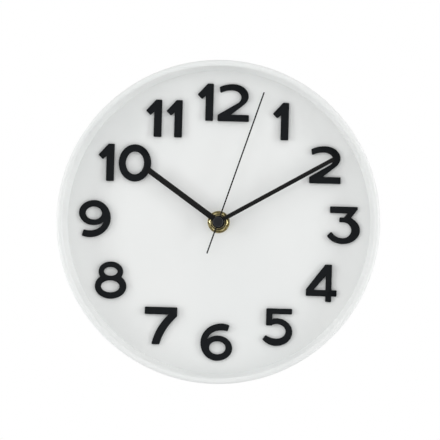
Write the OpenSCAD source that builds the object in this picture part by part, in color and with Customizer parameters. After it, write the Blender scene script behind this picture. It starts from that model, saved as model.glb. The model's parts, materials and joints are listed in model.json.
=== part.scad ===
// Round wall clock: one-piece dished case and dial with twelve raised numerals,
// three straight hands, a brass centre fixing and a battery quartz movement.
// Sizes are in millimetres. The shapes are drawn in a dial frame, where x points right,
// y points up to twelve and z points forward from the wall. placed() then turns that
// frame so that the dial faces -Y and +Z is up, with the origin at the hook hole.

/* [Case] */
// Diameter over the rim
clock_d = 200; // [190:1:240]
// Depth from the wall to the front of the rim
case_depth = 36; // [34:0.5:46]
// How far the side draws in between the rim and the wall
side_taper = 3.5; // [1:0.25:8]
// Thickness of the case and dial
case_t = 2.4; // [2:0.1:3]
// Width of the rounded rim lip
lip_w = 4; // [3:0.25:5]
// Radial run of the short wall inside the lip
step_run = 2; // [1.5:0.25:3]
// Height of the rim above the flat middle of the dial
rim_rise = 12; // [11:0.25:14]

/* [Dial] */
// Diameter of the flat middle of the dial
flat_d = 120; // [90:1:130]
// Radius of the curve that the dial rises on outside its flat middle
dish_curve = 400; // [180:5:600]

/* [Numerals] */
// Height of a numeral
numeral_h = 23.2; // [18:0.2:28]
// Diameter of the ring that the numeral centres lie on
numeral_ring_d = 150; // [140:1:156]
// Least height of a numeral's face above the dial
numeral_stand = 0.9; // [0.8:0.1:2]
// Rounding of a numeral's corners
numeral_round = 0.6; // [0.3:0.05:1]
// Thickness of the glue under a numeral
glue_gap = 0.05; // [0.03:0.01:0.2]

/* [Hands] */
// Hour hand, axis to tip
hour_len = 54; // [40:0.5:58]
// Hour hand width
hour_w = 3.6; // [2.5:0.1:5]
// Minute hand, axis to tip
minute_len = 81; // [60:0.5:88]
// Minute hand width
minute_w = 2.6; // [1.8:0.1:4]
// Second hand, axis to tip
second_len = 85; // [60:0.5:88]
// Second hand, axis to the end of its tail
second_tail = 20.7; // [10:0.1:30]
// Second hand width
second_w = 0.85; // [0.5:0.05:1.2]
// Thickness of the hour and minute hands
hand_t = 0.5; // [0.4:0.05:0.8]
// Free height between a hand's blade and the next thing behind it
hand_gap = 0.7; // [0.5:0.05:1.2]
// Free height between a hand's boss and the next thing behind it
boss_gap = 0.4; // [0.3:0.05:0.8]
// Length of the hour hand's boss behind its blade
hour_boss_drop = 0.5; // [0.3:0.1:1]
// Length of the minute hand's boss behind its blade
minute_boss_drop = 0.7; // [0.5:0.1:1.2]
// Diameter of the hands' round bosses
boss_d = 7.8; // [7:0.1:9]
// Diameter of the cap over the second hand
cap_d = 6.2; // [5:0.1:7]
// Height of the cap
cap_h = 1.4; // [1:0.1:2]
// Hour shown
shown_hour = 10; // [0:1:11]
// Minute shown
shown_minute = 10; // [0:1:59]
// Second shown
shown_second = 3; // [0:1:59]

/* [Centre fixing] */
// Outer diameter of the brass washer
washer_d = 13.8; // [12:0.1:16]
// Thickness of the brass washer
washer_t = 0.6; // [0.4:0.1:1]
// Width across the flats of the brass nut
nut_af = 10.4; // [10:0.1:12]
// Thickness of the brass nut
nut_t = 2; // [1.6:0.1:2.6]
// Outer diameter of the movement's threaded bush
bush_d = 7.9; // [7.4:0.1:8.4]
// Radial room round the bush in the dial, washers and hanger
bush_clear = 0.15; // [0.1:0.05:0.4]
// Length of thread that shows past the nut
bush_proud = 0.7; // [0.3:0.1:1.2]
// Thickness of the rubber washer behind the dial
rubber_t = 0.8; // [0.5:0.1:1.5]
// Outer diameter of the rubber washer
rubber_d = 18; // [14:0.5:22]

/* [Shafts] */
// Outer diameter of the hour pipe
hour_pipe_d = 5; // [4.6:0.1:5.4]
// Outer diameter of the minute pipe
minute_pipe_d = 3.4; // [3:0.1:3.6]
// Diameter of the seconds arbor
seconds_arbor_d = 1; // [0.8:0.1:1.2]
// Diameter of the plastic arbors in the train
arbor_d = 1.6; // [1.4:0.1:1.8]
// Diameter of the pivots on those arbors
pivot_d = 0.8; // [0.6:0.1:1]
// Radial clearance of each shaft in its bore
shaft_clear = 0.05; // [0.03:0.01:0.08]
// Radial clearance of a pressed hub on its shaft
press_clear = 0.01; // [0.005:0.005:0.02]
// Radial room round a part that passes through a hole and doesn't run in it
hole_room = 0.15; // [0.1:0.05:0.3]

/* [Movement] */
// Width and height of the movement
movement_w = 56; // [56:0.5:60]
// Depth of the movement
movement_depth = 16.5; // [16.5:0.1:18]
// Side wall of the movement case
side_t = 1; // [0.8:0.1:1.2]
// Front wall of the movement case
front_t = 1.2; // [1:0.1:1.5]
// Thickness of the rear cover
cover_t = 1.5; // [1.2:0.1:1.6]
// Battery diameter
battery_d = 14.5; // [14:0.1:14.5]
// Battery length over its terminals
battery_len = 50.5; // [49:0.1:50.5]
// Room round the battery
battery_clear = 0.25; // [0.2:0.01:0.3]
// Diameter of the time-setting knob
knob_d = 12; // [10:0.5:13]
// Thickness of the time-setting knob
knob_t = 1.6; // [1.2:0.1:1.8]

/* [Gear train] */
// Centre distance from the seconds axis to the third wheel
third_dist = 11.88; // [11.8:0.02:11.96]
// Centre distance from the seconds axis to the fifth wheel
fifth_dist = 12; // [11.9:0.05:12.2]
// Centre distance from the fifth wheel to the rotor
rotor_dist = 9.8; // [9.6:0.1:10]
// Centre distance from the hand axis to the minute wheel
minute_dist = 10; // [9.8:0.1:10.1]
// Centre distance from the minute wheel to the setting gear
setting_dist = 10; // [9.8:0.1:10.2]
// Thickness of a wheel's disc
wheel_t = 1; // [0.8:0.05:1.1]
// How far a pinion's teeth stand past the wheel that they drive
pinion_over = 0.2; // [0.1:0.05:0.25]

/* [Hanger] */
// Thickness of the steel hanger
hanger_t = 1; // [0.8:0.1:1.2]
// Width of the steel hanger
hanger_w = 24; // [20:0.5:30]
// Diameter of the hook hole
hook_hole_d = 8; // [6:0.5:9]
// Height of the hook hole above the top of the movement
hook_rise = 10; // [8:0.5:12]
// Distance from the wall to the hanger's upright
hook_z = 4; // [3:0.25:6]

/* [Hidden] */
$fn = 96;
// Facets of the turned case and dial, and of a numeral's corners
turn_facets = 360;
corner_facets = 16;
// Straight pieces in a numeral's whole oval
oval_steps = 48;
// Overlap of pieces that are joined, and how far a cut runs past a face
tiny = 0.01;
past = 1;

// Heights along the clock's axis, from the wall forward
clock_r = clock_d / 2;
dial_front = case_depth - rim_rise;
dial_back = dial_front - case_t;
hanger_front = dial_back - rubber_t;
movement_front = hanger_front - hanger_t;
movement_back = movement_front - movement_depth;
cover_front = movement_back + cover_t;
inside_front = movement_front - front_t;
nut_top = dial_front + washer_t + nut_t;
bush_end = nut_top + bush_proud;

// Dial and case outline
flat_r = flat_d / 2;
lip_r = lip_w / 2;
dish_r = clock_r - lip_w - step_run;
back_r = clock_r - side_taper;
case_slope = side_taper / (case_depth - lip_r);
function dish_z(r) = r <= flat_r ? dial_front
    : dial_front + dish_curve - sqrt(pow(dish_curve, 2) - pow(r - flat_r, 2));
// Points on the dial's curve from its flat middle outwards, raised by a height
dish_steps = 12;
function dish_points(rise) =
    [for (k = [0 : dish_steps]) let (r = flat_r + (dish_r - flat_r) * k / dish_steps)
        [r, dish_z(r) + rise]];
function reversed(points) = [for (i = [len(points) - 1 : -1 : 0]) points[i]];
shaft_hole_r = bush_d / 2 + bush_clear;

// Numerals, drawn on a grid 100 units high
glyph_unit = numeral_h / 100;
one_w = 43;
zero_w = 87;
two_w = 84;
digit_space = 12;
// Farthest corner of a numeral from the ring, in numeral heights
corner_reach = 0.6;
numeral_reach = numeral_ring_d / 2 + corner_reach * numeral_h;
numeral_front = dish_z(numeral_reach) + numeral_stand;
// Optical offsets of numerals 1 to 12 from their places on the ring
numeral_nudge = [
    [-0.7, -1.6], [0.2, -0.4], [2.4, 0], [-0.2, 1.4], [0.8, 0.8], [0.7, 0.6],
    [3.3, -0.3], [-1.1, -0.4], [-2.1, 0], [5.5, -2.2], [1.8, -1.5], [0.9, -0.8]
];

// Hands
hour_hand_z = max(numeral_front + hand_gap, bush_end + boss_gap + hour_boss_drop);
minute_hand_z = hour_hand_z + hand_t + boss_gap + minute_boss_drop;
second_hand_z = minute_hand_z + hand_t + hand_gap;
second_hand_t = 0.3;
// How far each pipe shows past its hand
hour_pipe_proud = 0.1;
minute_pipe_proud = 0.2;
minute_boss_d = 7;
second_boss_d = 5.2;
arbor_end = second_hand_z + second_hand_t + cap_h / 2;
second_turn = 360 * shown_second / 60;
minute_turn = 360 * (shown_minute / 60);
hour_turn = 360 * (shown_hour + shown_minute / 60) / 12;

// Movement layout
half_w = movement_w / 2;
inside_w = half_w - side_t;
bay_w = battery_d + 2 * battery_clear;
battery_y = -inside_w + bay_w / 2;
bay_top = -inside_w + bay_w;
divider_t = 0.8;
battery_front_gap = 0.2;
battery_z = inside_front - battery_front_gap - battery_d / 2;
cover_gap = 0.4;
plate_back = cover_front + cover_gap;
plate_t = 1.2;
plate_front = plate_back + plate_t;

// Screw posts
post_r = 1.8;
post_inset = 4.5;
post_in = half_w - post_inset;
post_low = -8;
post_side = 11;
posts = [[-post_in, post_low], [post_in, post_low], [post_side, post_in]];
screw_r = 0.8;
screw_len = 4.5;
screw_tip_gap = 0.5;

// Gear train: angles of the axes round one another, then their places
third_angle = 50;
fifth_angle = 165;
rotor_angle = 115;
minute_angle = -15;
setting_angle = 20;
function polar(r, a) = [r * cos(a), r * sin(a)];
third_at = polar(third_dist, third_angle);
fifth_at = polar(fifth_dist, fifth_angle);
rotor_at = fifth_at + polar(rotor_dist, rotor_angle);
minute_at = polar(minute_dist, minute_angle);
setting_at = minute_at + polar(setting_dist, setting_angle);

// Tooth counts
pinion_n = 8;
rotor_n = 8;
fifth_n = 48;
seconds_n = 40;
third_n = 60;
centre_n = 64;
cannon_n = 10;
minute_n = 30;
hour_n = 32;
setting_n = 10;

// Tooth modules, from each pair's centre distance
function pair_module(dist, n1, n2) = 2 * dist / (n1 + n2);
rotor_mod = pair_module(rotor_dist, rotor_n, fifth_n);
fifth_mod = pair_module(fifth_dist, pinion_n, seconds_n);
third_mod = pair_module(third_dist, pinion_n, third_n);
centre_mod = pair_module(third_dist, pinion_n, centre_n);
cannon_mod = pair_module(minute_dist, cannon_n, minute_n);
hour_mod = pair_module(minute_dist, pinion_n, hour_n);
setting_mod = pair_module(setting_dist, minute_n, setting_n);

// Angle of a tooth on gear b, so that it meshes with gear a, which has a tooth at phase_a
function mesh_phase(towards_b, phase_a, n_a, n_b) =
    towards_b + 180 + 180 / n_b - (phase_a - towards_b) * n_a / n_b;
fifth_pinion_phase = mesh_phase(fifth_angle, 0, seconds_n, pinion_n);
rotor_phase = mesh_phase(rotor_angle, 0, fifth_n, rotor_n);
third_phase = mesh_phase(third_angle, 0, pinion_n, third_n);
centre_phase = mesh_phase(third_angle + 180, 0, pinion_n, centre_n);
minute_wheel_phase = mesh_phase(minute_angle, 0, cannon_n, minute_n);
hour_phase = mesh_phase(minute_angle + 180, 0, pinion_n, hour_n);
setting_phase = mesh_phase(setting_angle, minute_wheel_phase, minute_n, setting_n);

// Free height behind each wheel
fifth_gap = 0.8;
seconds_gap = 0.8;
third_gap = 1;
centre_gap = 1.3;
minute_gap = 0.9;
hour_gap = 0.5;

// Levels of the wheels, from the train plate forward
fifth_z = plate_front + fifth_gap;
seconds_z = fifth_z + wheel_t + seconds_gap;
third_z = seconds_z + wheel_t + third_gap;
centre_z = third_z + wheel_t + centre_gap;
minute_z = centre_z + wheel_t + minute_gap;
hour_z = minute_z + wheel_t + hour_gap;
pinion_t = wheel_t + 2 * pinion_over;

// Arbors and their pivots
arbor_gap = 0.2;
arbor_shake = 0.3;
arbor_low = plate_front + arbor_gap;
arbor_top = inside_front - arbor_shake;
pivot_depth = 0.8;
pivot_short = 0.1;
pivot_room = 0.2;
pivot_low = plate_back + pivot_short;
pivot_top = inside_front + pivot_depth - pivot_room;

// Stepping motor
stator_gap = 0.4;
stator_z = seconds_z + wheel_t + stator_gap;
stator_t = 1;
stator_left = -25.5;
stator_right = -5;
leg_w = 4;
leg_x = [stator_left, stator_right - leg_w];
peg_y = rotor_at[1];
peg_r = 0.6;
peg_tip = 0.4;
magnet_r = 3;
magnet_t = 2.2;
magnet_z = stator_z - (magnet_t - stator_t) / 2;
magnet_gap = 0.6;
core_t = 0.8;
core_w = 4;
core_rise = 9.5;
core_y = rotor_at[1] + core_rise;
coil_end_gap = 0.6;
coil_left = stator_left + leg_w + coil_end_gap;
coil_right = stator_right - leg_w - coil_end_gap;
coil_z = stator_z + stator_t + core_t / 2;
flange_t = 0.8;
flange_rise = 0.5;
spool_r = 2.7;
coil_r = 3.6;

// Setting knob
knob_gap = 0.3;
knob_back = movement_back - knob_gap - knob_t;
stem_r = 1.5;
setting_pivot_r = 0.8;

// Electrics
board_t = 0.6;
board_back = plate_front;
board_front = board_back + board_t;
contact_t = 0.4;
contact_h = 2;
contact_z = board_front;
contact_gap = 0.05;
contact_x = inside_w - contact_gap;
contact_half = 5.5;
tongue_y = [18, 21];
battery_gap = 0.1;
nub_len = 1;
nub_r = 2.75;
// Ends of the battery's body, which sits a little towards its plus end
body_shift = 0.25;
body_x = [body_shift - battery_len / 2, body_shift + battery_len / 2 - nub_len];

// Hanger
hanger_room = 0.6;
hanger_top = half_w + hanger_room;
hook_y = half_w + hook_rise;

// ---------- Helpers ----------

// Turns the dial frame so that the dial faces -Y, with the hook hole at the origin
module placed() {
    rotate([90, 0, 0])
        translate([0, -hook_y, -hook_z])
            children();
}

// A cylinder between two heights, at a place in the dial plane
module rod(at, r, z0, z1) {
    translate([at[0], at[1], z0])
        cylinder(r = r, h = z1 - z0);
}

// A box between two corners
module block(low, high) {
    translate(low)
        cube(high - low);
}

// Points along part of an ellipse
function arc(centre, rx, ry, a0, a1, steps = 12) =
    [for (i = [0 : steps]) let (a = a0 + (a1 - a0) * i / steps)
        centre + [rx * cos(a), ry * sin(a)]];

// Points along a curve from p0 to p2, drawn towards p1
function bend(p0, p1, p2, steps = 10) =
    [for (i = [0 : steps]) let (t = i / steps)
        pow(1 - t, 2) * p0 + 2 * t * (1 - t) * p1 + pow(t, 2) * p2];

function ellipse(centre, rx, ry) =
    arc(centre, rx, ry, 0, 360 - 360 / oval_steps, oval_steps - 1);

// ---------- Gears ----------

// Tooth forms in modules: addendum, dedendum, then widths at the root, pitch circle and tip
wheel_form = [0.9, 1.2, 1.45, 1.2, 0.4];
pinion_form = [0.65, 1.25, 0.95, 1.1, 0.5];

function gear_points(n, mod, phase, form) =
    let (pitch = n * mod / 2)
    let (root = pitch - form[1] * mod)
    let (tip = pitch + form[0] * mod)
    let (steps = [[root, -form[2]], [pitch, -form[3]], [tip, -form[4]],
                  [tip, form[4]], [pitch, form[3]], [root, form[2]]])
    [for (k = [0 : n - 1]) for (s = steps)
        polar(s[0], phase + 360 * k / n + s[1] * mod / s[0] * 90 / PI)];

module gear(n, mod, phase, form, z0, t) {
    translate([0, 0, z0])
        linear_extrude(t)
            polygon(gear_points(n, mod, phase, form));
}

// The pinion in front of a wheel, long enough to reach past the wheel that it drives
module pinion(mod, phase, wheel_z, driven_z) {
    z0 = wheel_z + wheel_t;
    gear(pinion_n, mod, phase, pinion_form, z0, driven_z + wheel_t + pinion_over - z0);
}

// Arbor with a thinner pivot at each end
module arbor() {
    rod([0, 0], arbor_d / 2, arbor_low, arbor_top);
    rod([0, 0], pivot_d / 2, pivot_low, arbor_low + tiny);
    rod([0, 0], pivot_d / 2, arbor_top - tiny, pivot_top);
}

// ---------- Case and dial ----------

// Half section of the bowl, as radius and height
module bowl_section() {
    wall_top = case_depth - lip_r;
    back_corner_z = dish_z(dish_r) - case_t;
    polygon(concat(
        [[back_r - case_t, 0], [back_r, 0], [clock_r, wall_top], [clock_r - lip_w, wall_top]],
        reversed(dish_points(0)),
        [[shaft_hole_r, dial_front], [shaft_hole_r, dial_back]],
        dish_points(-case_t),
        [[back_r - case_t + case_slope * back_corner_z, back_corner_z]]
    ));
    intersection() {
        translate([clock_r - lip_r, wall_top])
            circle(r = lip_r);
        translate([0, wall_top])
            square([clock_r, lip_r]);
    }
}

module dial_bowl() {
    color("#e9ecec")
        placed()
            rotate_extrude($fn = turn_facets)
                bowl_section();
}

// ---------- Numerals ----------

module digit_0() {
    difference() {
        polygon(ellipse([zero_w / 2, 50], zero_w / 2, 50));
        polygon(ellipse([zero_w / 2, 50], 24.5, 30.5));
    }
}

module digit_1() {
    polygon([[22, 0], [one_w, 0], [one_w, 100], [27, 100], [0, 70], [12, 58], [22, 67]]);
}

module digit_2() {
    polygon(concat(
        arc([40, 60], 58, 40, 129, 90), arc([40, 68], 42, 32, 80, -43),
        [[36, 18], [two_w, 18], [two_w, 0], [0, 0], [0, 17]],
        arc([38, 64], 24.5, 19, -52, 90), arc([38, 54.6], 46, 28.4, 98, 134)
    ));
}

module digit_3() {
    polygon(concat(
        [[7, 100], [81, 100], [81, 93], [64, 71]],
        arc([42, 37], 46.3, 37, 58, -90), arc([42, 37], 46.3, 37, 262, 205, 6),
        arc([42, 49.3], 34, 33.6, 209, 262, 6), arc([42, 37], 23, 21.3, -90, 90),
        [[32, 58], [33, 71], [44, 71], [54, 82], [7, 82]]
    ));
}

module digit_4() {
    difference() {
        polygon([[52, 0], [68, 0], [68, 15], [82, 15], [82, 32], [68, 32], [68, 100],
                 [50, 100], [0, 33], [0, 15], [52, 15]]);
        polygon([[52, 69], [52, 32], [21, 32]]);
    }
}

module digit_5() {
    polygon(concat(
        [[9, 100], [78, 100], [78, 85], [26, 85], [26, 70]],
        arc([37, 37.2], 43, 37.2, 103, -90), arc([37, 57], 52, 57, 265, 225, 6),
        arc([38, 51.6], 42, 31.9, 226, 265, 6), arc([38, 39.2], 24, 19.5, -90, 120),
        [[26, 54], [9, 54]]
    ));
}

module digit_6() {
    difference() {
        polygon(concat(
            arc([56, 75], 35, 25, 54, 84, 6), arc([56, 48], 56, 52, 90, 180),
            arc([44, 48], 44, 48, 188, 270), arc([44, 33.4], 41.4, 33.4, 278, 360),
            arc([46.4, 33.4], 39, 34.1, 6, 135), arc([56, 53], 37.5, 28.5, 168, 65)
        ));
        polygon(ellipse([45.6, 34.8], 21.9, 17.3));
    }
}

module digit_7() {
    polygon(concat(
        [[0, 80], [0, 100], [87, 100]],
        bend([87, 76], [52, 42], [41, 0]),
        bend([20, 0], [28, 44], [63, 80])
    ));
}

module digit_8() {
    difference() {
        union() {
            polygon(ellipse([42, 73], 33, 27));
            polygon(ellipse([42.3, 34], 42.3, 34));
        }
        polygon(ellipse([41.8, 73.5], 18.3, 11.6));
        polygon(ellipse([41.5, 33.4], 25, 16));
    }
}

module digit_9() {
    translate([85.4, 100])
        rotate(180)
            digit_6();
}

// Widths of the digits 0 to 9 on the numeral grid
digit_w = [zero_w, one_w, two_w, 88, 82, 80, 85.4, 87, 84.7, 85.4];

module digit(d) {
    if (d == 0) digit_0();
    if (d == 1) digit_1();
    if (d == 2) digit_2();
    if (d == 3) digit_3();
    if (d == 4) digit_4();
    if (d == 5) digit_5();
    if (d == 6) digit_6();
    if (d == 7) digit_7();
    if (d == 8) digit_8();
    if (d == 9) digit_9();
}

function numeral_width(h) =
    h < 10 ? digit_w[h] : digit_w[1] + digit_space + digit_w[h - 10];

module numeral_outline(h) {
    offset(r = numeral_round, $fn = corner_facets)
        offset(delta = -numeral_round)
            scale(glyph_unit)
                translate([-numeral_width(h) / 2, -50]) {
                    digit(h < 10 ? h : 1);
                    if (h >= 10)
                        translate([digit_w[1] + digit_space, 0])
                            digit(h - 10);
                }
}

// The space that the dial fills, with the film of glue on it
module dial_bed() {
    rotate_extrude($fn = turn_facets)
        polygon(concat(
            [[0, 0], [dish_r, 0]],
            reversed(dish_points(glue_gap)),
            [[0, dial_front + glue_gap]]
        ));
}

module numeral(h) {
    at = numeral_ring_d / 2 * [sin(30 * h), cos(30 * h)] + numeral_nudge[h - 1];
    color("#1e2022")
        placed()
            difference() {
                translate([at[0], at[1], dial_front])
                    linear_extrude(numeral_front - dial_front)
                        numeral_outline(h);
                dial_bed();
            }
}

// ---------- Centre fixing and hanger ----------

module brass_washer() {
    color("#b09a5c")
        placed()
            difference() {
                rod([0, 0], washer_d / 2, dial_front, dial_front + washer_t);
                rod([0, 0], shaft_hole_r, dial_front - past, dial_front + washer_t + past);
            }
}

module brass_nut() {
    base = dial_front + washer_t;
    corner_r = nut_af / 2 / cos(30);
    chamfer_angle = 30;
    face_r = nut_af / 2;
    spread = (nut_t + past) / tan(chamfer_angle);
    color("#b7a05f")
        placed()
            difference() {
                intersection() {
                    translate([0, 0, base])
                        cylinder(r = corner_r, h = nut_t, $fn = 6);
                    translate([0, 0, base - past])
                        cylinder(r1 = face_r + spread, r2 = face_r, h = nut_t + past);
                }
                rod([0, 0], bush_d / 2 + press_clear, base - past, base + nut_t + past);
            }
}

module rubber_washer() {
    color("#2a2a2a")
        placed()
            difference() {
                rod([0, 0], rubber_d / 2, hanger_front, dial_back);
                rod([0, 0], shaft_hole_r, hanger_front - past, dial_back + past);
            }
}

module hanger() {
    foot = -hanger_w / 2;
    color("#a9adb0")
        placed()
            difference() {
                union() {
                    block([-hanger_w / 2, foot, movement_front],
                          [hanger_w / 2, hanger_top + hanger_t, hanger_front]);
                    block([-hanger_w / 2, hanger_top, hook_z],
                          [hanger_w / 2, hanger_top + hanger_t, hanger_front]);
                    block([-hanger_w / 2, hanger_top, hook_z],
                          [hanger_w / 2, hook_y + tiny, hook_z + hanger_t]);
                    intersection() {
                        rod([0, hook_y], hanger_w / 2, hook_z, hook_z + hanger_t);
                        block([-hanger_w / 2, hook_y, hook_z],
                              [hanger_w / 2, hook_y + hanger_w / 2, hook_z + hanger_t]);
                    }
                }
                rod([0, 0], shaft_hole_r, movement_front - past, hanger_front + past);
                rod([0, hook_y], hook_hole_d / 2, hook_z - past, hook_z + hanger_t + past);
            }
}

// ---------- Hands ----------

// A straight bar along +y, turned clockwise as seen from the front
module hand_bar(w, tail, len, turn, z, t) {
    rotate([0, 0, -turn])
        block([-w / 2, -tail, z], [w / 2, len, z + t]);
}

module hour_hand() {
    boss_back = hour_hand_z - hour_boss_drop;
    color("#222222")
        placed()
            difference() {
                union() {
                    hand_bar(hour_w, 0, hour_len, hour_turn, hour_hand_z, hand_t);
                    rod([0, 0], boss_d / 2, boss_back, hour_hand_z + hand_t);
                }
                rod([0, 0], hour_pipe_d / 2 + press_clear, boss_back - past,
                    hour_hand_z + hand_t + past);
            }
}

module minute_hand() {
    boss_back = minute_hand_z - minute_boss_drop;
    color("#222222")
        placed()
            difference() {
                union() {
                    hand_bar(minute_w, 0, minute_len, minute_turn, minute_hand_z, hand_t);
                    rod([0, 0], minute_boss_d / 2, boss_back, minute_hand_z + hand_t);
                }
                rod([0, 0], minute_pipe_d / 2 + press_clear, boss_back - past,
                    minute_hand_z + hand_t + past);
            }
}

module second_hand() {
    color("#262626")
        placed()
            difference() {
                union() {
                    hand_bar(second_w, second_tail, second_len, second_turn,
                             second_hand_z, second_hand_t);
                    rod([0, 0], second_boss_d / 2, second_hand_z, second_hand_z + second_hand_t);
                }
                rod([0, 0], seconds_arbor_d / 2 + press_clear,
                    second_hand_z - past, second_hand_z + second_hand_t + past);
            }
}

module hand_cap() {
    base = second_hand_z + second_hand_t;
    edge = 0.35;
    arbor_room = 0.1;
    color("#2b2d30")
        placed()
            difference() {
                rotate_extrude()
                    union() {
                        translate([0, base])
                            square([cap_d / 2, cap_h - edge]);
                        translate([0, base])
                            square([cap_d / 2 - edge, cap_h]);
                        translate([cap_d / 2 - edge, base + cap_h - edge])
                            circle(r = edge);
                    }
                rod([0, 0], seconds_arbor_d / 2 + press_clear, base - past, arbor_end + arbor_room);
            }
}

// ---------- Gear train ----------

module seconds_arbor() {
    color("#b9bcbf")
        placed()
            rod([0, 0], seconds_arbor_d / 2, pivot_low, arbor_end);
}

module seconds_wheel() {
    color("#e8e4d8")
        placed()
            difference() {
                union() {
                    gear(seconds_n, fifth_mod, 0, wheel_form, seconds_z, wheel_t);
                    pinion(third_mod, 0, seconds_z, third_z);
                }
                rod([0, 0], seconds_arbor_d / 2 + press_clear,
                    seconds_z - past, third_z + pinion_t + past);
            }
}

module fifth_wheel() {
    color("#d9dfe2")
        placed()
            translate(fifth_at) {
                gear(fifth_n, rotor_mod, 0, wheel_form, fifth_z, wheel_t);
                pinion(fifth_mod, fifth_pinion_phase, fifth_z, seconds_z);
                arbor();
            }
}

module third_wheel() {
    color("#e8e4d8")
        placed()
            translate(third_at) {
                gear(third_n, third_mod, third_phase, wheel_form, third_z, wheel_t);
                pinion(centre_mod, 0, third_z, centre_z);
                arbor();
            }
}

module centre_wheel() {
    color("#f0eee6")
        placed()
            difference() {
                gear(centre_n, centre_mod, centre_phase, wheel_form, centre_z, wheel_t);
                rod([0, 0], minute_pipe_d / 2 + shaft_clear,
                    centre_z - past, centre_z + wheel_t + past);
            }
}

module minute_pipe() {
    tail_len = 0.4;
    tail = centre_z - tail_len;
    color("#dcd8cc")
        placed()
            difference() {
                union() {
                    rod([0, 0], minute_pipe_d / 2, tail,
                        minute_hand_z + hand_t + minute_pipe_proud);
                    gear(cannon_n, cannon_mod, 0, pinion_form, minute_z - pinion_over, pinion_t);
                }
                rod([0, 0], seconds_arbor_d / 2 + shaft_clear, tail - past, arbor_end);
            }
}

module minute_wheel() {
    color("#e8e4d8")
        placed()
            translate(minute_at)
                difference() {
                    union() {
                        gear(minute_n, cannon_mod, minute_wheel_phase, wheel_form,
                             minute_z, wheel_t);
                        pinion(hour_mod, 0, minute_z, hour_z);
                    }
                    rod([0, 0], arbor_d / 2 + shaft_clear, minute_z - past, hour_z + pinion_t + past);
                }
}

module hour_wheel() {
    pipe_end = hour_hand_z + hand_t + hour_pipe_proud;
    color("#dcd8cc")
        placed()
            difference() {
                union() {
                    gear(hour_n, hour_mod, hour_phase, wheel_form, hour_z, wheel_t);
                    rod([0, 0], hour_pipe_d / 2, hour_z, pipe_end);
                }
                rod([0, 0], minute_pipe_d / 2 + shaft_clear, hour_z - past, pipe_end + past);
            }
}

// ---------- Stepping motor ----------

module rotor_pinion() {
    color("#d9dfe2")
        placed()
            translate(rotor_at) {
                gear(rotor_n, rotor_mod, rotor_phase, pinion_form, fifth_z - pinion_over, pinion_t);
                arbor();
            }
}

module rotor_magnet() {
    color("#4a4d50")
        placed()
            difference() {
                rod(rotor_at, magnet_r, magnet_z, magnet_z + magnet_t);
                rod(rotor_at, arbor_d / 2 + press_clear, magnet_z - past, magnet_z + magnet_t + past);
            }
}

module stator() {
    yoke_half = 5.2;
    leg_top = core_y + core_w / 2;
    color("#8d9094")
        placed()
            difference() {
                union() {
                    block([stator_left, rotor_at[1] - yoke_half, stator_z],
                          [stator_right, rotor_at[1] + yoke_half, stator_z + stator_t]);
                    for (x = leg_x)
                        block([x, rotor_at[1], stator_z], [x + leg_w, leg_top, stator_z + stator_t]);
                }
                rod(rotor_at, magnet_r + magnet_gap, stator_z - past, stator_z + stator_t + past);
                for (x = leg_x)
                    rod([x + leg_w / 2, peg_y], peg_r + shaft_clear,
                        stator_z - past, stator_z + stator_t + past);
            }
}

module coil_core() {
    color("#9a9da0")
        placed()
            block([stator_left, core_y - core_w / 2, stator_z + stator_t],
                  [stator_right, core_y + core_w / 2, stator_z + stator_t + core_t]);
}

// A cylinder along x in the coil's place
module coil_rod(r, x0, x1) {
    translate([x0, core_y, coil_z])
        rotate([0, 90, 0])
            cylinder(r = r, h = x1 - x0);
}

module coil_bobbin() {
    slot = shaft_clear;
    color("#3b6ea5")
        placed()
            difference() {
                union() {
                    coil_rod(spool_r, coil_left, coil_right);
                    coil_rod(coil_r + flange_rise, coil_left, coil_left + flange_t);
                    coil_rod(coil_r + flange_rise, coil_right - flange_t, coil_right);
                }
                block([coil_left - past, core_y - core_w / 2 - slot, coil_z - core_t / 2 - slot],
                      [coil_right + past, core_y + core_w / 2 + slot, coil_z + core_t / 2 + slot]);
            }
}

module coil_winding() {
    color("#b0653a")
        placed()
            difference() {
                coil_rod(coil_r, coil_left + flange_t, coil_right - flange_t);
                coil_rod(spool_r, coil_left, coil_right);
            }
}

// ---------- Setting knob ----------

module setting_knob() {
    flutes = 20;
    flute_r = 0.5;
    flute_out = 0.2;
    flute_ring_r = knob_d / 2 + flute_out;
    color("#2f2f31")
        placed()
            translate(setting_at) {
                difference() {
                    rod([0, 0], knob_d / 2, knob_back, knob_back + knob_t);
                    for (k = [0 : flutes - 1])
                        rod(polar(flute_ring_r, 360 * k / flutes), flute_r,
                            knob_back - past, knob_back + knob_t + past);
                }
                rod([0, 0], stem_r, knob_back + knob_t - tiny, minute_z);
                gear(setting_n, setting_mod, setting_phase, pinion_form,
                     minute_z - pinion_over, pinion_t);
                rod([0, 0], setting_pivot_r, minute_z, pivot_top);
            }
}

// ---------- Movement case ----------

// Square with its corners cut off
module cut_square(w) {
    c = 1.5;
    h = w / 2;
    polygon([[h - c, -h], [h, -h + c], [h, h - c], [h - c, h],
             [-h + c, h], [-h, h - c], [-h, -h + c], [-h + c, -h]]);
}

pivots = [fifth_at, third_at, rotor_at];

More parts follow.
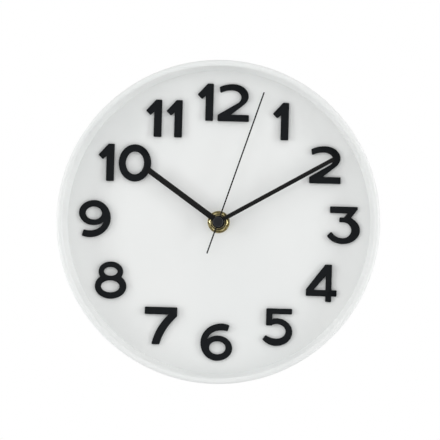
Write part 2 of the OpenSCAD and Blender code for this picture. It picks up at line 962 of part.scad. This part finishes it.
module front_case() {
    side_notch = 1.2;
    notch_room = 0.3;
    notch_top = contact_z + contact_h + notch_room;
    stud_behind = 0.4;
    stud_back = minute_z - stud_behind;
    color("#26272a")
        placed()
            difference() {
                union() {
                    difference() {
                        translate([0, 0, cover_front])
                            linear_extrude(movement_front - cover_front)
                                cut_square(movement_w);
                        translate([0, 0, cover_front - past])
                            linear_extrude(inside_front - cover_front + past)
                                cut_square(movement_w - 2 * side_t);
                    }
                    block([-inside_w - tiny, bay_top, cover_front],
                          [inside_w + tiny, bay_top + divider_t, inside_front + tiny]);
                    for (p = posts)
                        rod(p, post_r, plate_front, inside_front + tiny);
                    for (x = leg_x) {
                        rod([x + leg_w / 2, peg_y], 2 * peg_r, stator_z + stator_t, inside_front + tiny);
                        rod([x + leg_w / 2, peg_y], peg_r, stator_z - peg_tip, inside_front);
                    }
                    rod(minute_at, arbor_d / 2, stud_back, inside_front + tiny);
                    rod([0, 0], bush_d / 2, movement_front - tiny, bush_end);
                }
                rod([0, 0], hour_pipe_d / 2 + shaft_clear, inside_front - past, bush_end + past);
                for (p = pivots)
                    rod(p, pivot_d / 2 + shaft_clear, inside_front - past, inside_front + pivot_depth);
                rod(setting_at, setting_pivot_r + shaft_clear,
                    inside_front - past, inside_front + pivot_depth);
                for (p = posts)
                    rod(p, screw_r, plate_front - past, plate_front + screw_len + screw_tip_gap);
                for (x = [-inside_w - tiny, inside_w - side_notch])
                    block([x, bay_top - past, cover_front - past],
                          [x + side_notch + tiny, bay_top + divider_t + past, notch_top]);
            }
}

module rear_cover() {
    tab_gap = 0.15;
    tab_t = 0.8;
    tab_y = [2, 8];
    tab_outer = inside_w - tab_gap;
    bay_rail = 1.2;
    bay_end = inside_w - bay_rail;
    color("#26272a")
        placed()
            difference() {
                union() {
                    translate([0, 0, movement_back])
                        linear_extrude(cover_t)
                            cut_square(movement_w);
                    for (x = [-tab_outer, tab_outer - tab_t])
                        block([x, tab_y[0], cover_front - tiny], [x + tab_t, tab_y[1], plate_front]);
                }
                block([-bay_end, -inside_w, movement_back - past],
                      [bay_end, bay_top, cover_front + past]);
                rod(setting_at, stem_r + shaft_clear, movement_back - past, cover_front + past);
            }
}

module train_plate() {
    edge_gap = 1.6;
    divider_gap = 0.3;
    reach = inside_w - edge_gap;
    low = bay_top + divider_t + divider_gap;
    color("#f2f2ee")
        placed()
            difference() {
                block([-reach, low, plate_back], [reach, reach, plate_front]);
                for (p = pivots)
                    rod(p, pivot_d / 2 + shaft_clear, plate_back - past, plate_front + past);
                rod([0, 0], seconds_arbor_d / 2 + shaft_clear, plate_back - past, plate_front + past);
                rod(setting_at, stem_r + hole_room, plate_back - past, plate_front + past);
                for (p = posts)
                    rod(p, screw_r + hole_room, plate_back - past, plate_front + past);
            }
}

module plate_screws() {
    head_r = 1.5;
    head_t = 0.3;
    color("#9fa2a6")
        placed()
            for (p = posts) {
                rod(p, head_r, plate_back - head_t, plate_back);
                rod(p, screw_r - press_clear, plate_back - tiny, plate_front + screw_len);
            }
}

// ---------- Electrics ----------

module circuit_board() {
    edge_gap = 1.7;
    top_gap = 0.8;
    low = 14;
    high = inside_w - top_gap;
    color("#2f6b45")
        placed()
            difference() {
                block([-inside_w + edge_gap, low, board_back], [inside_w - edge_gap, high, board_front]);
                rod(posts[2], post_r + hole_room, board_back - past, board_front + past);
            }
}

module chip() {
    drop_at = [0, 20.5];
    drop_r = 3;
    drop_t = 1.2;
    color("#151515")
        placed()
            rod(drop_at, drop_r, board_front, board_front + drop_t);
}

module crystal() {
    can_at = [17, 22.5];
    can_r = 1;
    can_len = 6;
    color("#c3c6c8")
        placed()
            translate([can_at[0], can_at[1], board_front + can_r])
                rotate([0, 90, 0])
                    cylinder(r = can_r, h = can_len);
}

// Plate at the end of the bay, the strip up the side wall and the tongue on the board
module contact_strip() {
    plate_half = 5;
    strip_w = 2;
    tongue_len = 4.5;
    block([contact_x - contact_t, battery_y - contact_half, battery_z - plate_half],
          [contact_x, battery_y + contact_half, battery_z + plate_half]);
    block([contact_x - contact_t, battery_y + contact_half - strip_w, contact_z],
          [contact_x, tongue_y[1], contact_z + contact_h]);
    block([contact_x - tongue_len, tongue_y[0], contact_z],
          [contact_x, tongue_y[1], contact_z + contact_t]);
}

module contact_plus() {
    reach = body_x[1] + nub_len + battery_gap;
    color("#c9ccce")
        placed() {
            contact_strip();
            translate([reach, battery_y, battery_z])
                rotate([0, 90, 0])
                    cylinder(r = nub_r, h = contact_x - contact_t / 2 - reach);
        }
}

// The leaf bows from near the plate's two edges out to the battery
module contact_minus() {
    leaf_t = 0.35;
    leaf_w = 8;
    leaf_edge = 0.5;
    leaf_half = contact_half - leaf_edge;
    reach = battery_gap - body_x[0];
    bow = contact_x - contact_t / 2 - reach;
    leaf_r = (pow(leaf_half, 2) + pow(bow, 2)) / (2 * bow);
    color("#c9ccce")
        placed()
            mirror([1, 0, 0]) {
                contact_strip();
                translate([reach, battery_y, battery_z - leaf_w / 2])
                    linear_extrude(leaf_w)
                        intersection() {
                            translate([leaf_r, 0])
                                difference() {
                                    circle(r = leaf_r);
                                    circle(r = leaf_r - leaf_t);
                                }
                            translate([0, -leaf_r])
                                square([bow, 2 * leaf_r]);
                        }
            }
}

module battery() {
    color("#3d5a80")
        placed()
            translate([0, battery_y, battery_z])
                rotate([0, 90, 0]) {
                    translate([0, 0, body_x[0]])
                        cylinder(r = battery_d / 2, h = body_x[1] - body_x[0]);
                    translate([0, 0, body_x[1] - tiny])
                        cylinder(r = nub_r, h = nub_len + tiny);
                }
}

dial_bowl();
numeral(1);  // numeral_1
numeral(2);  // numeral_2
numeral(3);  // numeral_3
numeral(4);  // numeral_4
numeral(5);  // numeral_5
numeral(6);  // numeral_6
numeral(7);  // numeral_7
numeral(8);  // numeral_8
numeral(9);  // numeral_9
numeral(10);  // numeral_10
numeral(11);  // numeral_11
numeral(12);  // numeral_12
hanger();
rubber_washer();
brass_washer();
brass_nut();
hour_hand();
minute_hand();
second_hand();
hand_cap();
seconds_arbor();
seconds_wheel();
fifth_wheel();
third_wheel();
centre_wheel();
minute_pipe();
minute_wheel();
hour_wheel();
rotor_pinion();
rotor_magnet();
stator();
coil_core();
coil_bobbin();
coil_winding();
setting_knob();
front_case();
rear_cover();
train_plate();
plate_screws();
circuit_board();
chip();
crystal();
contact_plus();
contact_minus();
battery();
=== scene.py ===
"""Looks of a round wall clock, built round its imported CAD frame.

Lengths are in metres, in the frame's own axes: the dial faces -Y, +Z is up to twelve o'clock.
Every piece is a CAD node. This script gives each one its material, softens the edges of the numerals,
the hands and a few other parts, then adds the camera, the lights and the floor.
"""

import json
import math

import bpy
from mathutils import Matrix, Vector

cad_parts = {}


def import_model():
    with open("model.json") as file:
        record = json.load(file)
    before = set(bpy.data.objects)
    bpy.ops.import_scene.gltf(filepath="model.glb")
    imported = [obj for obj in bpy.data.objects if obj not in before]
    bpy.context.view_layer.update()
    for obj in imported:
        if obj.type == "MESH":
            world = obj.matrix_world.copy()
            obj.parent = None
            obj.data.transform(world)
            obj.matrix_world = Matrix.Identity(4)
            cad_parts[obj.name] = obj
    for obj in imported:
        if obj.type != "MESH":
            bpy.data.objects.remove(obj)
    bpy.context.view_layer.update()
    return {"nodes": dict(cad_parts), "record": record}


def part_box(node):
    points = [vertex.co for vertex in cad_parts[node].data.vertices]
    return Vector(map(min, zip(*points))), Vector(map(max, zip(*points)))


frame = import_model()

MM = 0.001
NODES = frame["nodes"]


def middle(node):
    """Centre of a node's box."""
    low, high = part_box(node)
    return (Vector(low) + Vector(high)) / 2


AXIS = middle("brass_washer")
BOWL_LOW = Vector(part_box("dial_bowl")[0])


# ---------- Node helpers ----------

class Tree:
    """A material's node tree, with short calls for the nodes used here."""

    def __init__(self, name):
        self.material = bpy.data.materials.new(name)
        self.material.use_nodes = True
        self.nodes = self.material.node_tree.nodes
        self.links = self.material.node_tree.links
        self.shader = self.nodes["Principled BSDF"]
        self.place = self.add("ShaderNodeTexCoord").outputs["Object"]

    def add(self, kind, **settings):
        node = self.nodes.new(kind)
        for key, value in settings.items():
            setattr(node, key, value)
        return node

    def put(self, socket, value):
        """Links a socket, or sets its value."""
        if isinstance(value, bpy.types.NodeSocket):
            self.links.new(value, socket)
        else:
            socket.default_value = value

    def noise(self, scale, detail=3.0, roughness=0.5, vector=None, distortion=0.0):
        node = self.add("ShaderNodeTexNoise")
        self.put(node.inputs["Vector"], vector or self.place)
        node.inputs["Scale"].default_value = scale
        node.inputs["Detail"].default_value = detail
        node.inputs["Roughness"].default_value = roughness
        node.inputs["Distortion"].default_value = distortion
        return node.outputs["Fac"]

    def cells(self, scale, vector=None):
        node = self.add("ShaderNodeTexVoronoi")
        self.put(node.inputs["Vector"], vector or self.place)
        node.inputs["Scale"].default_value = scale
        return node.outputs["Distance"]

    def spread(self, value, low, high, out_low, out_high):
        """Maps a value from one range to another, clamped."""
        node = self.add("ShaderNodeMapRange")
        self.put(node.inputs["Value"], value)
        node.inputs["From Min"].default_value = low
        node.inputs["From Max"].default_value = high
        node.inputs["To Min"].default_value = out_low
        node.inputs["To Max"].default_value = out_high
        return node.outputs["Result"]

    def mix(self, factor, first, second):
        node = self.add("ShaderNodeMix", data_type="RGBA")
        self.put(node.inputs["Factor"], factor)
        self.put(node.inputs["A"], first)
        self.put(node.inputs["B"], second)
        return node.outputs["Result"]

    def math(self, operation, first, second=0.0):
        node = self.add("ShaderNodeMath", operation=operation)
        self.put(node.inputs[0], first)
        self.put(node.inputs[1], second)
        return node.outputs["Value"]

    def stretch(self, scale):
        """Object coordinates scaled along the axes, for grain that runs one way."""
        node = self.add("ShaderNodeMapping")
        self.put(node.inputs["Vector"], self.place)
        node.inputs["Scale"].default_value = scale
        return node.outputs["Vector"]

    def radius(self, centre):
        """Distance from an axis along Y through a point."""
        apart = self.add("ShaderNodeSeparateXYZ")
        self.put(apart.inputs["Vector"], self.place)
        dx = self.math("SUBTRACT", apart.outputs["X"], centre.x)
        dz = self.math("SUBTRACT", apart.outputs["Z"], centre.z)
        squares = self.math("ADD", self.math("MULTIPLY", dx, dx), self.math("MULTIPLY", dz, dz))
        return self.math("SQRT", squares)

    def sharp_edge_mask(self, low, high):
        """1 on sharp convex edges, 0 elsewhere; the materials use it to paint these edges lighter, as
        wear and as a painted highlight.
        """
        pointed = self.add("ShaderNodeNewGeometry").outputs["Pointiness"]
        return self.spread(pointed, low, high, 0.0, 1.0)

    def bump(self, height, depth, normal=None):
        """Bump of a real depth in metres."""
        node = self.add("ShaderNodeBump")
        node.inputs["Strength"].default_value = 1.0
        node.inputs["Distance"].default_value = depth
        self.put(node.inputs["Height"], height)
        if normal is not None:
            self.put(node.inputs["Normal"], normal)
        return node.outputs["Normal"]

    def finish(self, colour, roughness, normal=None, **levels):
        self.put(self.shader.inputs["Base Color"], colour)
        self.put(self.shader.inputs["Roughness"], roughness)
        if normal is not None:
            self.put(self.shader.inputs["Normal"], normal)
        for key, value in levels.items():
            self.shader.inputs[key.replace("_", " ")].default_value = value
        return self.material


def rgb(red, green, blue):
    return (red, green, blue, 1.0)


def shade(colour, factor):
    return rgb(*(min(1.0, channel * factor) for channel in colour[:3]))


# ---------- Materials ----------

def moulded(name, colour, roughness=0.4, grain=900, depth=0.004 * MM, vary=0.06, coat=0.0,
            edge_wear_and_highlight=0.25):
    """Moulded plastic: fine spark texture, faint flow marks, edges painted a little lighter as rubbed
    wear and as a painted highlight.
    """
    t = Tree(name)
    flow = t.noise(28, 4, 0.6, distortion=0.6)
    speck = t.noise(grain, 4, 0.65)
    base = t.mix(t.spread(flow, 0.3, 0.7, 0.0, 1.0),
                 shade(colour, 1 - vary), shade(colour, 1 + vary))
    # Convex edges painted lighter: rubbed wear plus a painted highlight.
    edge = t.math("MULTIPLY", t.sharp_edge_mask(0.52, 0.62), edge_wear_and_highlight)
    base = t.mix(edge, base, shade(colour, 1.35))
    rough = t.spread(t.noise(140, 5, 0.6), 0.25, 0.75, roughness - 0.06, roughness + 0.08)
    normal = t.bump(speck, depth)
    normal = t.bump(flow, depth * 6, normal)
    return t.finish(base, rough, normal, Coat_Weight=coat)


def case_white():
    """Satin white moulding: faint cool and warm drift, orange peel, fine dust in the finish."""
    t = Tree("case_white")
    drift = t.noise(9, 3, 0.5)
    peel = t.noise(420, 2, 0.45)
    fine = t.noise(2600, 3, 0.6)
    base = t.mix(t.spread(drift, 0.3, 0.7, 0.0, 1.0),
                 rgb(0.80, 0.818, 0.812), rgb(0.84, 0.85, 0.842))
    dust = t.spread(t.cells(700), 0.0, 0.035, 1.0, 0.0)
    base = t.mix(t.math("MULTIPLY", dust, 0.10), base, rgb(0.55, 0.56, 0.55))
    rough = t.spread(t.noise(60, 5, 0.6), 0.25, 0.75, 0.34, 0.46)
    normal = t.bump(peel, 0.006 * MM)
    normal = t.bump(fine, 0.0015 * MM, normal)
    return t.finish(base, rough, normal)


def numeral_black():
    """Black satin moulding: soft orange peel, edges painted lighter as rubbed wear and as a painted
    highlight, and a very faint sheen.
    """
    t = Tree("numeral_black")
    drift = t.noise(60, 4, 0.6)
    peel = t.noise(700, 2, 0.5)
    base = t.mix(t.spread(drift, 0.3, 0.7, 0.0, 1.0),
                 rgb(0.0045, 0.0053, 0.0062), rgb(0.0065, 0.0077, 0.0088))
    # Convex edges painted lighter: rubbed wear plus a painted highlight.
    edge = t.math("MULTIPLY", t.sharp_edge_mask(0.52, 0.60), 0.35)
    base = t.mix(edge, base, rgb(0.022, 0.024, 0.026))
    rough = t.spread(t.noise(180, 5, 0.6), 0.25, 0.75, 0.26, 0.36)
    normal = t.bump(peel, 0.005 * MM)
    return t.finish(base, rough, normal, Specular_IOR_Level=0.07)


def hand_black():
    """Stamped metal in matt black paint: fine paint grain, edges painted a touch greyer as rubbed
    paint and as a painted highlight.
    """
    t = Tree("hand_black")
    grain = t.noise(1600, 4, 0.7)
    cloud = t.noise(90, 4, 0.6)
    base = t.mix(t.spread(cloud, 0.3, 0.7, 0.0, 1.0),
                 rgb(0.0042, 0.0042, 0.0044), rgb(0.0066, 0.0066, 0.0068))
    # Convex edges painted greyer: rubbed paint plus a painted highlight.
    edge = t.math("MULTIPLY", t.sharp_edge_mask(0.52, 0.60), 0.4)
    base = t.mix(edge, base, rgb(0.028, 0.0275, 0.027))
    rough = t.spread(grain, 0.3, 0.7, 0.34, 0.46)
    return t.finish(base, rough, t.bump(grain, 0.003 * MM), Specular_IOR_Level=0.035)


def brass():
    """Turned brass gone a little olive: fine lathe rings, dull patches, painted shade in coarse dark
    rings, edges painted lighter as wear and a painted highlight.
    """
    t = Tree("brass")
    across = t.radius(AXIS)
    ring_pitch = 0.22 * MM
    coarse_pitch = 1.15 * MM
    rings = t.math("SINE", t.math("MULTIPLY", across, 2 * math.pi / ring_pitch))
    coarse = t.math("SINE", t.math("MULTIPLY", across, 2 * math.pi / coarse_pitch))
    patch = t.noise(260, 5, 0.65)
    base = t.mix(t.spread(patch, 0.3, 0.7, 0.0, 1.0),
                 rgb(0.46, 0.38, 0.17), rgb(0.80, 0.70, 0.38))
    # Coarse rings painted darker: painted shade standing in for the dark ring lines on the washer and
    # nut.
    base = t.mix(t.spread(coarse, -1.0, 1.0, 0.0, 0.6), base, rgb(0.22, 0.18, 0.07))
    # Convex edges painted lighter: some wear plus a painted highlight on the chamfers.
    edge = t.math("MULTIPLY", t.sharp_edge_mask(0.51, 0.60), 0.5)
    base = t.mix(edge, base, rgb(0.80, 0.72, 0.45))
    rough = t.spread(patch, 0.3, 0.7, 0.16, 0.30)
    normal = t.bump(rings, 0.004 * MM)
    normal = t.bump(coarse, 0.02 * MM, normal)
    return t.finish(base, rough, normal, Metallic=1.0)


def steel(name, colour=(0.56, 0.57, 0.58), roughness=0.32, along=(1, 1, 40), scale=160,
          spot=(0.30, 0.30, 0.31)):
    """Rolled or ground steel: grain that runs one way, cloudy plating, dull spots."""
    t = Tree(name)
    grain = t.noise(scale, 4, 0.6, vector=t.stretch(along))
    cloud = t.noise(120, 4, 0.6)
    base = t.mix(t.spread(cloud, 0.3, 0.7, 0.0, 1.0),
                 shade(colour, 0.86), shade(colour, 1.08))
    stain = t.spread(t.noise(420, 5, 0.7), 0.62, 0.74, 0.0, 0.55)
    base = t.mix(stain, base, rgb(*spot))
    rough = t.spread(grain, 0.25, 0.75, roughness - 0.08, roughness + 0.14)
    return t.finish(base, rough, t.bump(grain, 0.003 * MM), Metallic=1.0)


def copper_wire():
    """Enamelled wire wound along X: one fine ridge a turn, with slight unevenness; colour painted
    darker between the turns and lighter on their crowns, as painted shade and highlight.
    """
    t = Tree("copper_wire")
    apart = t.add("ShaderNodeSeparateXYZ")
    t.put(apart.inputs["Vector"], t.place)
    wander = t.math("MULTIPLY", t.noise(300, 2, 0.5), 0.12 * MM)
    wire_pitch = 0.16 * MM
    turn = t.math("MULTIPLY", t.math("ADD", apart.outputs["X"], wander), 2 * math.pi / wire_pitch)
    ridge = t.math("SINE", turn)
    # Colour follows the ridge height: painted shade between the turns, painted highlight on their
    # crowns.
    base = t.mix(t.spread(ridge, -1.0, 1.0, 0.0, 1.0),
                 rgb(0.20, 0.06, 0.02), rgb(0.62, 0.25, 0.10))
    rough = t.spread(t.noise(200, 3, 0.5), 0.3, 0.7, 0.24, 0.38)
    return t.finish(base, rough, t.bump(ridge, 0.03 * MM), Metallic=0.75)


def board_green():
    """Solder mask over faint copper tracks, with the glass weave just showing."""
    t = Tree("board_green")
    weave = t.add("ShaderNodeTexBrick")
    t.put(weave.inputs["Vector"], t.stretch((900, 900, 900)))
    tracks = t.spread(t.cells(260), 0.30, 0.36, 0.0, 1.0)
    base = t.mix(tracks, rgb(0.02, 0.15, 0.06), rgb(0.035, 0.24, 0.10))
    rough = t.spread(t.noise(200, 4, 0.6), 0.3, 0.7, 0.22, 0.36)
    normal = t.bump(tracks, 0.02 * MM)
    normal = t.bump(weave.outputs["Fac"], 0.002 * MM, normal)
    return t.finish(base, rough, normal, Coat_Weight=0.3)


def battery_sleeve():
    """Plain printed sleeve: dark body, a copper-coloured band at the plus end, bare steel ends."""
    t = Tree("battery_sleeve")
    low, high = (Vector(corner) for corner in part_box("battery"))
    apart = t.add("ShaderNodeSeparateXYZ")
    t.put(apart.inputs["Vector"], t.place)
    wobble = t.math("MULTIPLY", t.noise(500, 2, 0.5), 0.1 * MM)
    along = t.math("ADD", apart.outputs["X"], wobble)
    band = t.spread(along, high.x - 13.2 * MM, high.x - 13.0 * MM, 0.0, 1.0)
    tip = t.spread(along, high.x - 1.9 * MM, high.x - 1.7 * MM, 0.0, 1.0)
    tail = t.spread(along, low.x + 0.6 * MM, low.x + 0.8 * MM, 1.0, 0.0)
    metal = t.math("MAXIMUM", tip, tail)
    haze = t.spread(t.noise(150, 5, 0.6), 0.3, 0.7, 0.0, 1.0)
    body = t.mix(haze, rgb(0.020, 0.045, 0.095), rgb(0.030, 0.065, 0.13))
    body = t.mix(band, body, rgb(0.50, 0.25, 0.10))
    base = t.mix(metal, body, rgb(0.58, 0.58, 0.57))
    rough = t.spread(t.noise(240, 5, 0.6), 0.3, 0.7, 0.22, 0.36)
    t.put(t.shader.inputs["Metallic"], t.math("MAXIMUM", metal, t.math("MULTIPLY", band, 0.7)))
    return t.finish(base, rough, t.bump(t.noise(900, 3, 0.6), 0.002 * MM))


def rubber():
    """Black rubber sheet with bloom and a coarse matt grain."""
    t = Tree("rubber")
    grain = t.noise(1100, 5, 0.7)
    bloom = t.spread(t.noise(130, 5, 0.7), 0.45, 0.75, 0.0, 0.6)
    base = t.mix(bloom, rgb(0.018, 0.018, 0.018), rgb(0.06, 0.06, 0.062))
    rough = t.spread(grain, 0.3, 0.7, 0.68, 0.9)
    return t.finish(base, rough, t.bump(grain, 0.02 * MM))


MATERIALS = {
    "case_white": case_white(),
    "numeral_black": numeral_black(),
    "hand_black": hand_black(),
    "cap_black": moulded("cap_black", rgb(0.013, 0.014, 0.017), 0.28, 1400, 0.002 * MM, 0.15),
    "brass": brass(),
    "rubber": rubber(),
    "hanger_steel": steel("hanger_steel", (0.42, 0.43, 0.44), 0.34, (1, 1, 18)),
    "arbor_steel": steel("arbor_steel", (0.62, 0.63, 0.64), 0.2, (1, 60, 1), 200),
    "gear_cream": moulded("gear_cream", rgb(0.74, 0.70, 0.58), 0.38),
    "gear_clear": moulded("gear_clear", rgb(0.62, 0.68, 0.71), 0.30),
    "pipe_cream": moulded("pipe_cream", rgb(0.68, 0.65, 0.56), 0.36),
    "magnet": steel("magnet", (0.10, 0.10, 0.11), 0.5, (1, 1, 1), 500, (0.04, 0.04, 0.04)),
    "lamination": steel("lamination", (0.40, 0.41, 0.43), 0.38, (30, 1, 1)),
    "bobbin_blue": moulded("bobbin_blue", rgb(0.05, 0.17, 0.36), 0.35),
    "copper_wire": copper_wire(),
    "knob_black": moulded("knob_black", rgb(0.030, 0.030, 0.034), 0.42, 1000, 0.008 * MM, 0.12),
    "movement_black": moulded("movement_black", rgb(0.022, 0.023, 0.026), 0.5, 800, 0.02 * MM, 0.12),
    "plate_white": moulded("plate_white", rgb(0.76, 0.76, 0.73), 0.42),
    "screw_steel": steel("screw_steel", (0.50, 0.51, 0.53), 0.3, (1, 1, 1), 400),
    "board_green": board_green(),
    "chip_black": moulded("chip_black", rgb(0.012, 0.012, 0.013), 0.28, 500, 0.03 * MM, 0.2),
    "crystal_can": steel("crystal_can", (0.66, 0.67, 0.68), 0.22, (60, 1, 1)),
    "contact_steel": steel("contact_steel", (0.62, 0.62, 0.60), 0.28, (1, 1, 30)),
    "battery_sleeve": battery_sleeve(),
}


# ---------- CAD pieces ----------

def soften(node, width, segments=3):
    """Rounds a node's sharp edges, so that they catch the light as real ones do."""
    piece = NODES[node]
    weld = piece.modifiers.new("weld", "WELD")
    weld.merge_threshold = 0.0005 * MM
    bevel = piece.modifiers.new("edges", "BEVEL")
    bevel.width = width
    bevel.segments = segments
    bevel.limit_method = "ANGLE"
    bevel.angle_limit = math.radians(35)
    bevel.use_clamp_overlap = True
    bevel.harden_normals = True


def paint():
    """Gives every CAD node its material slot's material."""
    for part in frame["record"]["subparts"]:
        piece = NODES[part["node"]]
        piece.data.materials.clear()
        piece.data.materials.append(MATERIALS[part["material_slot"]])


NUMERALS = [f"numeral_{hour}" for hour in range(1, 13)]
NUMERAL_EDGE = 0.25 * MM
EDGE_WIDTHS = {
    "hour_hand": 0.10 * MM,
    "minute_hand": 0.10 * MM,
    "brass_washer": 0.12 * MM,
    "brass_nut": 0.15 * MM,
    "hanger": 0.15 * MM,
    "setting_knob": 0.15 * MM,
    "rear_cover": 0.3 * MM,
}

paint()
for numeral in NUMERALS:
    soften(numeral, NUMERAL_EDGE)
for node, width in EDGE_WIDTHS.items():
    soften(node, width)


# ---------- Stage, lights and camera ----------

def look_along(thing, target, roll=0.0):
    """Turns a light or camera at its place to face a point."""
    away = target - thing.location
    turn = away.to_track_quat("-Z", "Y")
    thing.rotation_mode = "QUATERNION"
    thing.rotation_quaternion = turn
    if roll:
        thing.rotation_mode = "XYZ"
        thing.rotation_euler = turn.to_euler()
        thing.rotation_euler.rotate_axis("Z", roll)


def area_light(name, place, size, power, target):
    data = bpy.data.lights.new(name, "AREA")
    data.shape = "RECTANGLE"
    data.size, data.size_y = size
    data.energy = power
    lamp = bpy.data.objects.new(name, data)
    lamp.location = place
    bpy.context.scene.collection.objects.link(lamp)
    look_along(lamp, target)
    return lamp


def strips():
    """Three long soft lights at a low angle to the dial, which brighten its wall and its dish."""
    reach = 1.18
    forward = -0.5
    long_side = 1.4
    short_side = 0.25
    side_watts = 7.4
    top_watts = 2.0
    upright = (short_side, long_side)
    level = (long_side, short_side)
    area_light("left_strip", Vector((-reach, forward, AXIS.z)), upright, side_watts, AXIS)
    area_light("right_strip", Vector((reach, forward, AXIS.z)), upright, side_watts, AXIS)
    area_light("top_strip", Vector((AXIS.x, forward, AXIS.z + reach)), level, top_watts, AXIS)


def floor():
    """A pale sheet well below the clock, out of the camera's frame."""
    drop = 0.35
    half = 2.0
    top = BOWL_LOW.z - drop
    corners = [(x, y, top) for x, y in ((-half, -half), (half, -half), (half, half), (-half, half))]
    mesh = bpy.data.meshes.new("floor")
    mesh.from_pydata(corners, [], [(0, 1, 2, 3)])
    sheet = bpy.data.objects.new("floor", mesh)
    bpy.context.scene.collection.objects.link(sheet)
    t = Tree("floor_paper")
    tone = t.spread(t.noise(3, 4, 0.5), 0.3, 0.7, 0.0, 1.0)
    paper = t.mix(tone, rgb(0.90, 0.90, 0.90), rgb(0.93, 0.93, 0.93))
    mesh.materials.append(t.finish(paper, 0.85))


def world():
    """A white studio: bright all round, dim only near the camera, so that black pieces stay black."""
    ring_level = 1.13
    dim_core = 0.04
    sky = bpy.data.worlds.new("white_studio")
    sky.use_nodes = True
    nodes = sky.node_tree.nodes
    links = sky.node_tree.links
    back = nodes["Background"]
    apart = nodes.new("ShaderNodeSeparateXYZ")
    links.new(nodes.new("ShaderNodeTexCoord").outputs["Generated"], apart.inputs["Vector"])
    place = nodes.new("ShaderNodeMapRange")
    place.inputs["From Min"].default_value = -1.0
    place.inputs["From Max"].default_value = 1.0
    links.new(apart.outputs["Y"], place.inputs["Value"])
    ramp = nodes.new("ShaderNodeValToRGB")
    ramp.color_ramp.interpolation = "EASE"
    # Places along Y, from 0 in front of the dial to 1 behind it, each with its level
    steps = ((0.0, dim_core), (0.012, dim_core), (0.045, 1.0), (0.117, 1.0), (0.21, 0.38),
             (0.55, 0.55))
    while len(ramp.color_ramp.elements) < len(steps):
        ramp.color_ramp.elements.new(1.0)
    for element, (position, level) in zip(ramp.color_ramp.elements, steps):
        element.position = position
        element.color = rgb(level, level, level)
    links.new(place.outputs["Result"], ramp.inputs["Fac"])
    level = nodes.new("ShaderNodeMath")
    level.operation = "MULTIPLY"
    level.inputs[1].default_value = ring_level
    links.new(ramp.outputs["Color"], level.inputs[0])
    seen = nodes.new("ShaderNodeLightPath")
    choose = nodes.new("ShaderNodeMix")
    links.new(seen.outputs["Is Camera Ray"], choose.inputs["Factor"])
    links.new(level.outputs["Value"], choose.inputs["A"])
    choose.inputs["B"].default_value = 1.0
    links.new(choose.outputs["Result"], back.inputs["Strength"])
    back.inputs["Color"].default_value = rgb(1.0, 1.0, 1.0)
    bpy.context.scene.world = sky


def camera():
    """Almost square on, a little to the right of the dial and below it, rolled as the clock hangs."""
    distance = 1.6
    frame_width = 0.2711
    sensor = 36.0
    roll = math.radians(1.6)
    azimuth = math.radians(3.0)
    elevation = math.radians(-1.0)
    off_centre = Vector((1.4 * MM, 0.0, 1.1 * MM))
    target = Vector((AXIS.x, BOWL_LOW.y, AXIS.z)) + off_centre
    data = bpy.data.cameras.new("camera")
    data.sensor_width = sensor
    data.lens = sensor * distance / frame_width
    data.clip_start = 0.01
    eye = bpy.data.objects.new("camera", data)
    away = Vector((math.sin(azimuth) * math.cos(elevation),
                   -math.cos(azimuth) * math.cos(elevation), math.sin(elevation)))
    eye.location = target + away * distance
    bpy.context.scene.collection.objects.link(eye)
    look_along(eye, target, roll)
    bpy.context.scene.camera = eye


floor()
world()
camera()
strips()
bpy.context.scene.view_settings.view_transform = "Standard"
